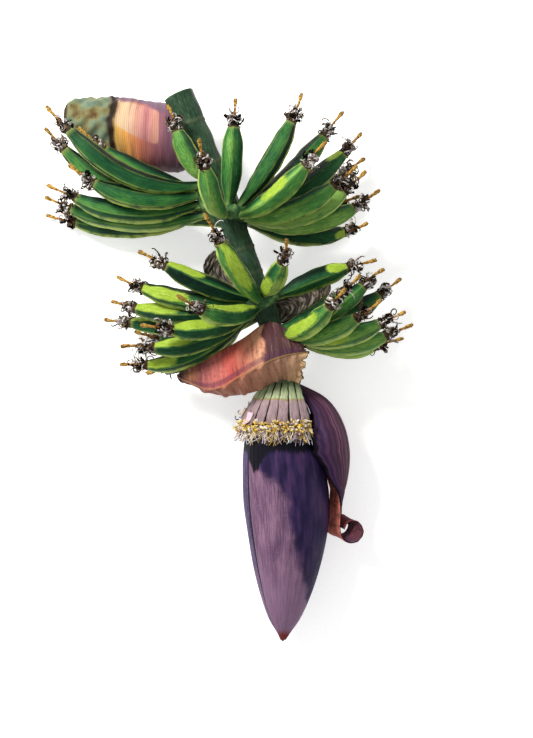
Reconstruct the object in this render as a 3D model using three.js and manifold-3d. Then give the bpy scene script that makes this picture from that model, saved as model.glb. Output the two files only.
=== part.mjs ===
// A banana blossom cut from its plant and laid on its back: the green stalk, four hands of young
// fingers with withered flowers at their tips, the lifted and dried bracts, a row of male flowers
// and the purple bud. Millimetres. +Z is up from the surface it lies on, +Y points to the stalk's
// cut end and -Y to the bud's tip. Seen from above it shows the side that faced the viewer.
import * as THREE from "three";
import { mergeVertices } from "three/addons/utils/BufferGeometryUtils.js";
import Module from "manifold-3d";

const wasm = await Module();
wasm.setup();

// Driving dimensions.
const CENTRE_SHIFT = { x: 7, y: 8.3 }; // puts the origin under the middle of the whole blossom
const GAP = 0.35; // clearance that a piece keeps to its neighbours
const SHEET_WIDTH = 1200; // the surface below, larger than the blossom

const STALK_RADIUS_TOP = 15.5;
const STALK_RADIUS_LOW = 11.5;
const NODE_SWELLING = 1.6; // the stalk is thicker where a hand grows from it

const FINGER_RADIUS = 10.4; // to a ridge: a young finger has five
const FINGER_SIDES = 5;
const FINGER_STEPS = 5;
const FINGER_ARCH = 8; // how far its middle is drawn outwards from the stalk
const CROWN_RADIUS = 8.5;
const CROWN_REACH = 4; // from the stalk's skin out to the middle of a crown
const CROWN_ROWS = 0.012; // fingers stand in two rows, this far from the crown's middle line

const STYLE_LENGTH = 34;
const STYLE_RADIUS = 1.8;
const STYLE_ROOT = 3; // sunk into the finger's blunt tip
const TEPAL_LENGTH = 14;
const TEPAL_RADIUS = 2.2;
const TEPAL_RING = 3.8; // the tepals stand on a ring of this radius, round the style
const TEPALS = 3;

const BUD_STEPS = 14;
const BUD_SIDES = 18;
const BUD_CORE_INSET = 2; // leaves room for the outermost bract and a clearance
const BUD_BRACT_THICKNESS = 1.8;
const BRACT_THICKNESS = 2.2;
const DRIED_THICKNESS = 1.6;

const MALE_FLOWERS = 8;
const MALE_FLOWER_RADIUS = 5.4;
const MALE_FLOWER_LIFT = 7.2; // from the bud's skin to the middle of a flower
const MALE_FLOWER_SHARES = [0.012, 0.08, 0.155]; // its root, middle and end along the bud
const ANTHERS_EACH = 3;
const ANTHER_RADII = [2.4, 1.1]; // at the root and the tip
const ANTHER_SHARES = [0.2, 0.24]; // how far along the bud their tips reach, shortest and longest

const COLOURS = {
  stalk: { color: 0x2f5a35, roughness: 0.6 },
  fingers: { color: 0x4f8a3a, roughness: 0.5 },
  bud: { color: 0x4b3350, roughness: 0.5 },
  bract: { color: 0x6a4057, roughness: 0.55 },
  redBract: { color: 0xa2503f, roughness: 0.6 },
  pinkBract: { color: 0xc08a80, roughness: 0.6 },
  driedBract: { color: 0x5a5046, roughness: 0.85 },
  maleFlowers: { color: 0xa89a9a, roughness: 0.7 },
};

// Points.
const vector = ([x, y, z]) => new THREE.Vector3(x, y, z);
const smoothCurve = (points) => new THREE.CatmullRomCurve3(points.map(vector));
const mix = (a, b, share) => a + (b - a) * share;
const radians = THREE.MathUtils.degToRad;

// A value that runs smoothly through the given values, evenly spaced from 0 to 1.
function profile(values) {
  const line = new THREE.SplineCurve(values.map((value, i) => new THREE.Vector2(i, value)));
  return (share) => line.getPoint(THREE.MathUtils.clamp(share, 0, 1)).y;
}

// A repeatable stream of numbers from 0 to 1.
function randomStream(seed) {
  let state = seed;
  return () => {
    state = (state * 1664525 + 1013904223) % 4294967296;
    return state / 4294967296;
  };
}

// A direction square to the stalk, turned about it: 0 faces up from the surface, 90 to the right.
const outward = (turn) => new THREE.Vector3(Math.sin(radians(turn)), 0, Math.cos(radians(turn)));

// Closed solids.
function solidOf(shape) {
  const bare = new THREE.BufferGeometry();
  bare.setAttribute("position", shape.getAttribute("position"));
  bare.setIndex(shape.index);
  const merged = mergeVertices(bare, 1e-4);
  return new wasm.Manifold(
    new wasm.Mesh({
      numProp: 3,
      vertProperties: merged.getAttribute("position").array,
      triVerts: new Uint32Array(merged.index.array),
    }),
  );
}

// Moves every vertex of a shape to where place puts it.
function moulded(shape, place) {
  const position = shape.getAttribute("position");
  const vertex = new THREE.Vector3();
  for (let i = 0; i < position.count; i++) {
    vertex.fromBufferAttribute(position, i);
    const { x, y, z } = place(vertex);
    position.setXYZ(i, x, y, z);
  }
  return solidOf(shape);
}

// A rod along a curve. radius(t) is its half width, from the root at 0 to the tip at 1.
function sweep(curve, radius, sides, steps) {
  const frames = curve.computeFrenetFrames(steps);
  return moulded(new THREE.CylinderGeometry(1, 1, 1, sides, steps), (vertex) => {
    const step = Math.round((vertex.y + 0.5) * steps);
    const reach = radius(step / steps);
    return curve
      .getPointAt(step / steps)
      .addScaledVector(frames.binormals[step], vertex.x * reach)
      .addScaledVector(frames.normals[step], vertex.z * reach);
  });
}

// A sheet of even thickness. surface(u, v) is its middle layer, with u from 0 to 1 and v from -1 to 1.
function sheet(surface, thickness, columns, rows) {
  const nudge = 1e-3;
  return moulded(new THREE.BoxGeometry(1, 1, 1, columns, rows, 1), (vertex) => {
    const u = vertex.x + 0.5;
    const v = vertex.y * 2;
    const alongU = surface(u + nudge, v).sub(surface(u - nudge, v));
    const alongV = surface(u, v + nudge).sub(surface(u, v - nudge));
    const normal = alongU.cross(alongV).normalize();
    return surface(u, v).addScaledVector(normal, vertex.z * thickness);
  });
}

// The middle layer of a leaf: it follows a midline, spreads to half(u) on each side along
// across(u), and curls there with the curl radius bend(u).
function leafSurface(midline, across, half, bend) {
  return (u, v) => {
    const share = THREE.MathUtils.clamp(u, 0, 1);
    const sideways = across(share);
    const inward = midline.getTangent(share).cross(sideways).normalize();
    const angle = (v * half(share)) / bend(share);
    return midline
      .getPoint(share)
      .addScaledVector(midline.getTangent(share), (u - share) * 100)
      .addScaledVector(sideways, Math.sin(angle) * bend(share))
      .addScaledVector(inward, (1 - Math.cos(angle)) * bend(share));
  };
}

const fuse = (solids) => solids.reduce((whole, next) => whole.add(next));

// Cuts a solid clear of others and keeps its largest body, so that no loose scrap is left.
function clearOf(solid, others) {
  const cut = others.reduce((left, other) => left.subtract(other), solid);
  return cut.decompose().reduce((a, b) => (b.volume() > a.volume() ? b : a));
}

// The stalk, from its cut end down into the bud.
const stalkAxis = smoothCurve([
  [-55, 264, 61],
  [-43, 238, 63],
  [-19, 183, 68],
  [3, 126, 71],
  [19, 83, 71],
  [35, 40, 68],
  [47, 3, 60],
  [53, -38, 49],
]);
const HAND_PLACES = [0.39, 0.69]; // where the upper and lower hands grow, along the stalk
function stalkRadius(share) {
  const swelling = HAND_PLACES.map((place) => Math.exp(-(((share - place) / 0.05) ** 2)));
  const taper = mix(STALK_RADIUS_TOP, STALK_RADIUS_LOW, Math.min(1, share / 0.6));
  return taper + NODE_SWELLING * (swelling[0] + swelling[1]);
}
const stalk = (grow) => sweep(stalkAxis, (share) => stalkRadius(share) + grow, 12, 16);

// A point just outside the stalk's skin.
function onStalk(turn, share, reach) {
  return stalkAxis.getPointAt(share).addScaledVector(outward(turn), stalkRadius(share) + reach);
}

// A hand's crown is a ridge round the stalk, from one turn and share of the stalk's length to
// another. Each finger leaves it at its own turn and bends up to its tip at x, y, z. bow is how far
// its middle sags below a straight line, and rise how far it stands up from that line.
const HANDS = {
  hand_upper_left: {
    seed: 11,
    crown: { turns: [-28, -138], shares: [0.29, 0.42] },
    fingers: [
      { turn: -28, tip: [-55, 225, 92], bow: 6 },
      { turn: -52, tip: [-162, 226, 90], bow: 22, rise: 5 },
      { turn: -64, tip: [-130, 208, 66], bow: 14, rise: -8 },
      { turn: -76, tip: [-138, 174, 84], bow: 12, rise: 4 },
      { turn: -88, tip: [-171, 211, 46], bow: 20, rise: -6 },
      { turn: -98, tip: [-158, 161, 58], bow: 14, rise: 4 },
      { turn: -110, tip: [-165, 152, 30], bow: 11, rise: 2 },
      { turn: -122, tip: [-162, 140, 12], bow: 11, rise: -4 },
      { turn: -138, tip: [-118, 172, 4], bow: 4 },
    ],
  },
  hand_upper_right: {
    seed: 23,
    crown: { turns: [-12, 122], shares: [0.395, 0.42] },
    fingers: [
      { turn: -12, tip: [-26, 184, 150], bow: 12 },
      { turn: 6, tip: [1, 228, 108], bow: 4 },
      { turn: 20, tip: [72, 187, 138], bow: 9 },
      { turn: 30, tip: [58, 234, 92], bow: 5 },
      { turn: 42, tip: [100, 169, 112], bow: 10 },
      { turn: 52, tip: [91, 222, 66], bow: 7 },
      { turn: 62, tip: [111, 166, 84], bow: 12 },
      { turn: 74, tip: [111, 207, 42], bow: 9 },
      { turn: 84, tip: [122, 151, 60], bow: 11 },
      { turn: 94, tip: [112, 186, 22], bow: 10 },
      { turn: 106, tip: [112, 128, 34], bow: 9 },
      { turn: 122, tip: [104, 156, 4], bow: 6 },
    ],
  },
  hand_lower_left: {
    seed: 37,
    crown: { turns: [-116, 62], shares: [0.735, 0.665] },
    fingers: [
      { turn: -4, tip: [-12, 113, 138], bow: 4 },
      { turn: -26, tip: [-66, 91, 92], bow: 4 },
      { turn: -14, tip: [-30, 46, 142], bow: 8 },
      { turn: -44, tip: [-90, 70, 70], bow: 6 },
      { turn: -34, tip: [-60, 28, 112], bow: 9 },
      { turn: -66, tip: [-98, 50, 52], bow: 7 },
      { turn: -54, tip: [-79, 10, 84], bow: 12 },
      { turn: -86, tip: [-104, 36, 32], bow: 8, rise: -3 },
      { turn: -76, tip: [-86, -7, 60], bow: 14 },
      { turn: -98, tip: [-58, -10, 36], bow: 13, rise: -4 },
      { turn: -116, tip: [-74, 22, 7], bow: 8 },
      { turn: 14, tip: [49, 93, 144], bow: 2 },
      { turn: 62, tip: [114, 90, 68], bow: 2 },
    ],
  },
  hand_lower_right: {
    seed: 53,
    crown: { turns: [22, 104], shares: [0.795, 0.785] },
    fingers: [
      { turn: 22, tip: [95, 50, 138], bow: 6 },
      { turn: 40, tip: [106, 62, 104], bow: 4 },
      { turn: 34, tip: [122, 39, 114], bow: 7 },
      { turn: 66, tip: [130, 72, 60], bow: 6 },
      { turn: 48, tip: [146, 34, 88], bow: 9, rise: 3 },
      { turn: 78, tip: [148, 64, 34], bow: 8, rise: -4 },
      { turn: 62, tip: [152, 22, 60], bow: 10 },
      { turn: 84, tip: [142, 12, 36], bow: 10, rise: -5 },
      { turn: 104, tip: [116, 34, 7], bow: 7 },
    ],
  },
};

const fingerProfile = profile([0.38, 0.56, 0.9, 1, 1, 0.93, 0.56]);

// The share of the stalk's length at which a hand's crown crosses a turn.
function crownShare({ turns, shares }, turn) {
  return mix(shares[0], shares[1], (turn - turns[0]) / (turns[1] - turns[0]));
}

function fingerCurve(crown, { turn, tip, bow, rise = 0 }, row) {
  const root = onStalk(turn, crownShare(crown, turn) + row * CROWN_ROWS, CROWN_REACH - 2);
  const end = vector(tip);
  const middle = root.clone().add(end).multiplyScalar(0.5);
  const sag = new THREE.Vector3(0, -2 * bow, 2 * rise);
  const bend = middle.add(sag).addScaledVector(outward(turn), FINGER_ARCH);
  return new THREE.QuadraticBezierCurve3(root, bend, end);
}

// The dried flower on a finger's tip: the long style with its knob, and the shrivelled tepals that
// spread round it.
function witheredFlower(curve, random, grow) {
  const tip = curve.getPoint(1);
  const ahead = curve.getTangent(1);
  const side = outward(random() * 360).cross(ahead).normalize();
  const at = (forward, sideways, turn) =>
    tip
      .clone()
      .addScaledVector(ahead, forward)
      .addScaledVector(side.clone().applyAxisAngle(ahead, radians(turn)), sideways);
  const style = new THREE.LineCurve3(at(-STYLE_ROOT, 0, 0), at(STYLE_LENGTH, 3, 360 * random()));
  const parts = [sweep(style, (share) => STYLE_RADIUS * mix(1, 1.4, share) + grow, 3, 1)];
  for (let i = 0; i < TEPALS; i++) {
    const turn = (i * 360) / TEPALS;
    const reach = TEPAL_LENGTH * mix(0.6, 1, random());
    const [from, to] = [at(-1, TEPAL_RING, turn), at(reach, TEPAL_RING + reach * 0.6, turn)];
    const tepal = new THREE.LineCurve3(from, to);
    parts.push(sweep(tepal, (share) => TEPAL_RADIUS * mix(1, 0.5, share) + grow, 3, 1));
  }
  return parts;
}

// A hand: its crown against the stalk, its fingers and their withered flowers, in one solid.
function hand(name, grow) {
  const { seed, crown, fingers } = HANDS[name];
  const random = randomStream(seed);
  const ridge = [0, 0.25, 0.5, 0.75, 1].map((share) => {
    const turn = mix(crown.turns[0], crown.turns[1], share);
    return onStalk(turn, crownShare(crown, turn), CROWN_REACH);
  });
  const parts = [sweep(new THREE.CatmullRomCurve3(ridge), () => CROWN_RADIUS + grow, 6, 6)];
  fingers.forEach((finger, i) => {
    const curve = fingerCurve(crown, finger, i % 2 ? -1 : 1);
    const radius = (share) => FINGER_RADIUS * fingerProfile(share) + grow;
    parts.push(sweep(curve, radius, FINGER_SIDES, FINGER_STEPS));
    parts.push(...witheredFlower(curve, random, grow));
  });
  return fuse(parts);
}

// The bud, from its shoulders to its tip.
const budAxis = smoothCurve([
  [52, -27, 50],
  [49, -82, 43.4],
  [53, -142, 39.6],
  [54, -190, 38.4],
  [50, -287, 34],
]);
const budRadius = profile([13, 26.5, 35, 39.5, 42, 42.8, 40.9, 36.8, 30.7, 22.4, 13, 1.8]);

function onBud(turn, share, lift) {
  return budAxis.getPointAt(share).addScaledVector(outward(turn), budRadius(share) + lift);
}

function budCore(grow) {
  const shape = new THREE.CylinderGeometry(1, 1, 1, BUD_SIDES, BUD_STEPS);
  return moulded(shape, ({ x, y, z }) => {
    const share = 0.5 - y;
    const reach = budRadius(share) - (share < 1 ? BUD_CORE_INSET : 0) + grow;
    return budAxis.getPointAt(share).add(new THREE.Vector3(x * reach, 0, z * reach));
  });
}

// The outermost closed bract of the bud, wrapped from its left edge over the front to the right.
const WRAP_TURNS = [-60, 128];
const WRAP_STEPS = [1.6, 13.6]; // from and to, in steps of the bud
function budBract() {
  const surface = (u, v) => {
    const turn = mix(WRAP_TURNS[0], WRAP_TURNS[1], (v + 1) / 2);
    return onBud(turn, mix(WRAP_STEPS[0], WRAP_STEPS[1], u) / BUD_STEPS, 0.4);
  };
  return sheet(surface, BUD_BRACT_THICKNESS, 12, 10);
}

// The purple bract that has lifted off the bud's right side, its tip rolled outwards in a scroll.
// Each row is a place on its midline, the half width and curl radius there, and how far the bract
// leans over to show its inner face.
const RAISED_ROWS = [
  { at: [66, -27, 48], half: 12, bend: 9, lean: 0 },
  { at: [91, -40, 48], half: 29, bend: 14.5, lean: 0 },
  { at: [103, -53, 46], half: 42, bend: 21.5, lean: 0 },
  { at: [112, -72, 44.5], half: 52, bend: 28.5, lean: 0 },
  { at: [116, -92, 43.5], half: 52, bend: 28.5, lean: 0 },
  { at: [116, -108, 43], half: 42, bend: 23.5, lean: 0 },
  { at: [113, -127, 42], half: 26, bend: 16, lean: 5 },
  { at: [109, -140, 41], half: 18, bend: 20, lean: 16 },
  { at: [105, -153, 40], half: 13, bend: 30, lean: 28 },
];
const SCROLL_CENTRE = { x: 113.5, y: -171, z: 38 };
const SCROLL_RADII = [13, 7.2]; // where the scroll starts and at its inner end
const SCROLL_START = 175; // the angle at which the bract runs into the scroll
const SCROLL_TURNS = 0.95;
const SCROLL_STEPS = 9;
const SCROLL_HALVES = [11, 7]; // half the ribbon's width at those two places
const SCROLL_BEND = 60;
const SCROLL_LEAN = 50;
const SCROLL_TILT = 0.45; // the share of that lean that also goes towards the bud's tip
function raisedBract() {
  const rows = [...RAISED_ROWS];
  for (let i = 0; i <= SCROLL_STEPS; i++) {
    const share = i / SCROLL_STEPS;
    const angle = radians(SCROLL_START + 360 * SCROLL_TURNS * share);
    const reach = mix(...SCROLL_RADII, share);
    const { x, y, z } = SCROLL_CENTRE;
    const at = [x + Math.cos(angle) * reach, y + Math.sin(angle) * reach, z];
    rows.push({ at, half: mix(...SCROLL_HALVES, share), bend: SCROLL_BEND, lean: SCROLL_LEAN });
  }
  const lean = profile(rows.map((row) => row.lean));
  const across = (share) => {
    const slope = Math.sin(radians(lean(share)));
    const height = Math.cos(radians(lean(share)));
    return new THREE.Vector3(slope, -SCROLL_TILT * slope, height).normalize();
  };
  const midline = smoothCurve(rows.map((row) => row.at));
  const half = profile(rows.map((row) => row.half));
  const bend = profile(rows.map((row) => row.bend));
  return sheet(leafSurface(midline, across, half, bend), BRACT_THICKNESS, 24, 6);
}

// The row of male flowers that the reflexed bract has laid bare, fanned over the bud's shoulder.
const ROW_TURNS = [-85, 34];
function maleFlowers(grow) {
  const random = randomStream(41);
  const roots = [];
  const parts = [];
  for (let i = 0; i < MALE_FLOWERS; i++) {
    const turn = mix(ROW_TURNS[0], ROW_TURNS[1], i / (MALE_FLOWERS - 1));
    const [rootShare, middleShare, endShare] = MALE_FLOWER_SHARES;
    const root = onBud(turn, rootShare, 4);
    const middle = onBud(turn, middleShare, MALE_FLOWER_LIFT + 0.6);
    const end = onBud(turn, endShare, MALE_FLOWER_LIFT);
    const flower = new THREE.QuadraticBezierCurve3(root, middle, end);
    roots.push(root);
    parts.push(sweep(flower, (share) => MALE_FLOWER_RADIUS * mix(0.5, 1, share) + grow, 5, 2));
    for (let anther = 0; anther < ANTHERS_EACH; anther++) {
      const turns = [0, 1].map((spread) => turn + mix(-4, 4, random()) * (1 + spread));
      const from = onBud(turns[0], endShare - 0.015, MALE_FLOWER_LIFT - 1.5);
      const to = onBud(turns[1], mix(...ANTHER_SHARES, random()), MALE_FLOWER_LIFT - 2.5);
      const line = new THREE.LineCurve3(from, to);
      parts.push(sweep(line, (share) => mix(...ANTHER_RADII, share) + grow, 3, 1));
    }
  }
  const cushion = new THREE.CatmullRomCurve3(roots);
  parts.push(sweep(cushion, () => MALE_FLOWER_RADIUS * 0.6 + grow, 4, 6));
  return fuse(parts);
}

// The reflexed red bract in front of the stalk's neck: folded along a keel that faces the viewer,
// its lower half rising from the male flowers and its upper half falling back to the stalk.
function reflexedBract() {
  const keel = smoothCurve([
    [75, 7, 94],
    [44, 0, 102],
    [13, -15, 96],
    [-20, -31, 78],
    [-56, -19, 54],
  ]);
  const crest = smoothCurve([
    [62, 22, 84],
    [38, 36, 81.5],
    [8, 18, 78],
    [-26, 0, 66],
    [-57, -17, 52],
  ]);
  const foot = smoothCurve([
    [68, -25, 76],
    [48, -22, 70],
    [20, -34, 68],
    [-14, -37, 62],
    [-55, -21, 50],
  ]);
  const surface = (u, v) => {
    const from = keel.getPoint(THREE.MathUtils.clamp(u, 0, 1));
    const to = (v < 0 ? foot : crest).getPoint(THREE.MathUtils.clamp(u, 0, 1));
    const fullness = 5 * Math.sin(Math.PI * Math.min(1, Math.abs(v))) * (1 - u ** 4);
    const past = new THREE.Vector3(-100, 0, 0).multiplyScalar(u - THREE.MathUtils.clamp(u, 0, 1));
    return from.lerp(to, Math.abs(v)).add(past).add(new THREE.Vector3(0, 0, fullness));
  };
  return sheet(surface, BRACT_THICKNESS, 12, 6);
}

// The oldest bract, behind the upper left hand, rolled back into a half tube with a pointed end.
function topBract() {
  const midline = smoothCurve([
    [-36, 218, 50],
    [-58, 224, 51],
    [-95, 229, 50],
    [-128, 236, 44],
    [-156, 252, 34],
  ]);
  const half = profile([26, 62, 66, 58, 34, 6]);
  const bend = profile([18, 32, 34, 32, 26, 20]);
  const across = () => new THREE.Vector3(0, 1, 0);
  return sheet(leafSurface(midline, across, half, bend), BRACT_THICKNESS, 10, 10);
}

// The two shrivelled bracts behind the lower hands.
function driedBractRight() {
  const midline = smoothCurve([
    [35, 41, 55.5],
    [58, 52, 45],
    [84, 68, 40],
    [98, 74, 44],
  ]);
  const half = profile([9, 19, 20, 12]);
  const bend = profile([16, 20, 24, 24]);
  const across = () => new THREE.Vector3(-0.45, 0.89, 0);
  return sheet(leafSurface(midline, across, half, bend), DRIED_THICKNESS, 6, 4);
}

function driedBractLeft() {
  const midline = smoothCurve([
    [20, 74, 58],
    [0, 84, 53],
    [-18, 94, 50],
    [-29, 96, 54],
  ]);
  const half = profile([8, 13, 14, 7]);
  const bend = profile([18, 20, 22, 22]);
  const across = () => new THREE.Vector3(0.3, 0.95, 0);
  return sheet(leafSurface(midline, across, half, bend), DRIED_THICKNESS, 6, 4);
}

// Everything below the surface that the blossom lies on.
const below = solidOf(
  new THREE.BoxGeometry(SHEET_WIDTH, SHEET_WIDTH, 200).translate(0, 0, -100),
);

// The pieces in the order in which they give way: each is cut clear of those before it.
const pieces = [
  { name: "stalk", make: stalk, material: "stalk" },
  { name: "bud", make: budCore, material: "bud" },
  { name: "bud_bract", make: budBract, material: "bract" },
  { name: "raised_bract", make: raisedBract, material: "bract" },
  { name: "male_flowers", make: maleFlowers, material: "maleFlowers" },
  ...Object.keys(HANDS).map((name) => ({
    name,
    make: (grow) => hand(name, grow),
    material: "fingers",
  })),
  { name: "reflexed_bract", make: reflexedBract, material: "redBract" },
  { name: "top_bract", make: topBract, material: "pinkBract" },
  { name: "dried_bract_right", make: driedBractRight, material: "driedBract" },
  { name: "dried_bract_left", make: driedBractLeft, material: "driedBract" },
];

function meshOf(name, solid, material) {
  const { vertProperties, triVerts } = solid.getMesh();
  const geometry = new THREE.BufferGeometry();
  geometry.setAttribute("position", new THREE.BufferAttribute(vertProperties, 3));
  geometry.setIndex(new THREE.BufferAttribute(triVerts, 1));
  geometry.computeVertexNormals();
  const mesh = new THREE.Mesh(geometry, new THREE.MeshStandardMaterial(COLOURS[material]));
  mesh.name = name;
  return mesh;
}

const blossom = new THREE.Group();
const placed = [];
for (const { name, make, material } of pieces) {
  const solid = clearOf(make(0), [below, ...placed]);
  blossom.add(meshOf(name, solid, material));
  placed.push(make(GAP));
}
blossom.position.set(CENTRE_SHIFT.x, CENTRE_SHIFT.y, 0);

export default blossom;
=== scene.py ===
"""A banana blossom lying on its back: the looks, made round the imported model.

Lengths are in millimetres, in the blossom's own frame, until a mesh is made: that moves them to the
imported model's origin and turns them into metres. +Z is up, +Y points to the stalk's cut end.
"""
import math

import bpy
import bmesh
import numpy as np
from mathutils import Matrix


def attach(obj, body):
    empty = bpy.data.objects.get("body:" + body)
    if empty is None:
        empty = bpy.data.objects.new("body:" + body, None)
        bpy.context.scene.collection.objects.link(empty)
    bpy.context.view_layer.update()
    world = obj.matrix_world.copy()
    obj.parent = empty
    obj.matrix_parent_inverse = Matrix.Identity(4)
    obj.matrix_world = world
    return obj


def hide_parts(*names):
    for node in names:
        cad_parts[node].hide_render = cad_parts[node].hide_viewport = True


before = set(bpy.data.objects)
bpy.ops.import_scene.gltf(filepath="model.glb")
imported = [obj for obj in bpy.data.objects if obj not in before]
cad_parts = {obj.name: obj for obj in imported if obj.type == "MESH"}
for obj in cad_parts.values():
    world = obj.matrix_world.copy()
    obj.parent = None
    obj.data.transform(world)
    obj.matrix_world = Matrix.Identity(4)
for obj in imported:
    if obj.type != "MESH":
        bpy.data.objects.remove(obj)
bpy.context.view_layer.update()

MM = 0.001
CENTRE_SHIFT = np.array([7.0, 8.3, 0.0])  # from the blossom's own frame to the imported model's
UP = np.array([0.0, 0.0, 1.0])
LIGHT_FROM = np.array([-0.5, 0.55, 0.67])  # the side that the light comes from
TURN = 2 * math.pi


# Numbers along a line

def mix(a, b, share):
    return a + (b - a) * share


def smooth_step(low, high, value):
    share = np.clip((value - low) / (high - low), 0, 1)
    return share * share * (3 - 2 * share)


def profile(values):
    """A value that runs smoothly through the given values, evenly spaced from 0 to 1."""
    values = np.array(values, float)
    last = len(values) - 1

    def at(share):
        place = np.clip(share, 0, 1) * last
        i = np.minimum(np.floor(place).astype(int), last - 1)
        w = place - i
        before, a, b, after = (values[np.clip(i + k, 0, last)] for k in (-1, 0, 1, 2))
        rise_a, rise_b = (b - before) / 2, (after - a) / 2
        return (
            (2 * a - 2 * b + rise_a + rise_b) * w**3
            + (3 * b - 3 * a - 2 * rise_a - rise_b) * w**2
            + rise_a * w
            + a
        )

    return at


def ripple(points, wave, seed, waves=8):
    """A smooth random value of about -1 to 1 at each point, that changes over wave millimetres."""
    rng = np.random.default_rng(seed)
    total = np.zeros(points.shape[:-1])
    for _ in range(waves):
        direction = rng.normal(size=3)
        direction *= TURN / (np.linalg.norm(direction) * wave * rng.uniform(0.7, 1.5))
        total += np.sin(points @ direction + rng.uniform(0, TURN))
    return total / math.sqrt(waves)


def unit(vectors):
    return vectors / np.maximum(np.linalg.norm(vectors, axis=-1, keepdims=True), 1e-9)


# Curves

class Curve:
    """A line through dense points. at(share) is by length, at(share, even=False) by knots."""

    def __init__(self, points):
        self.points = np.array(points, float)
        steps = np.linalg.norm(np.diff(self.points, axis=0), axis=1)
        self.length = steps.sum()
        self.by_length = np.concatenate([[0], np.cumsum(steps)]) / self.length
        self.by_knot = np.linspace(0, 1, len(self.points))

    def at(self, share, even=True):
        places = self.by_length if even else self.by_knot
        return np.stack([np.interp(share, places, self.points[:, k]) for k in range(3)], -1)

    def tangent(self, share, even=True):
        step = 4e-3
        ahead = self.at(np.clip(share + step, 0, 1), even)
        return unit(ahead - self.at(np.clip(share - step, 0, 1), even))


def smooth_curve(knots, steps=24):
    """The centripetal spline through the knots."""
    knots = np.array(knots, float)
    padded = np.vstack([2 * knots[0] - knots[1], knots, 2 * knots[-1] - knots[-2]])
    points = []
    for p0, p1, p2, p3 in zip(padded, padded[1:], padded[2:], padded[3:]):
        d0, d1, d2 = (math.sqrt(np.linalg.norm(b - a)) for a, b in ((p0, p1), (p1, p2), (p2, p3)))
        t1 = ((p1 - p0) / d0 - (p2 - p0) / (d0 + d1) + (p2 - p1) / d1) * d1
        t2 = ((p2 - p1) / d1 - (p3 - p1) / (d1 + d2) + (p3 - p2) / d2) * d1
        for w in np.arange(steps) / steps:
            points.append(
                p1
                + t1 * w
                + (3 * (p2 - p1) - 2 * t1 - t2) * w**2
                + (2 * (p1 - p2) + t1 + t2) * w**3
            )
    return Curve(points + [knots[-1]])


def bezier(a, b, c, steps=60):
    t = np.linspace(0, 1, steps + 1)[:, None]
    return Curve((1 - t) ** 2 * a + 2 * t * (1 - t) * b + t**2 * c)


def rings_round(curve, share, turn, radius, first=UP):
    """Rings of points round a curve at the given shares. radius is in mm for each share and turn,
    and first is the direction of turn 0."""
    centre, tangent = curve.at(share), curve.tangent(share)
    normals = []
    normal = np.array(first, float)
    for ahead in tangent:
        normal = unit(normal - ahead * (normal @ ahead))
        normals.append(normal)
    normals = np.array(normals)
    binormals = np.cross(tangent, normals)
    spread = (
        np.cos(turn)[None, :, None] * normals[:, None] + np.sin(turn)[None, :, None] * binormals[:, None]
    )
    return centre[:, None] + spread * (radius * np.ones((len(share), len(turn))))[..., None]


def circle(sides):
    """Evenly spaced angles once round, in radians."""
    return np.linspace(0, TURN, sides, endpoint=False)


def roughened(rings, curve, share, height, wave, seed):
    """Rings round a curve with bumps that are height high and wave across."""
    return rings + height * ripple(rings, wave, seed)[..., None] * unit(rings - curve.at(share)[:, None])


def outward(turn):
    """A direction square to the stalk: 0 degrees faces up, 90 to the right."""
    angle = np.radians(turn)
    return np.stack([np.sin(angle), np.zeros_like(angle), np.cos(angle)], -1)


# Meshes

# On some pieces edge, tone and sun also carry painted highlights, painted shade, painted sunlight and painted shadow.
VALUES = ("along", "edge", "tone", "sun")  # what the materials read, from 0 to 1


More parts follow.
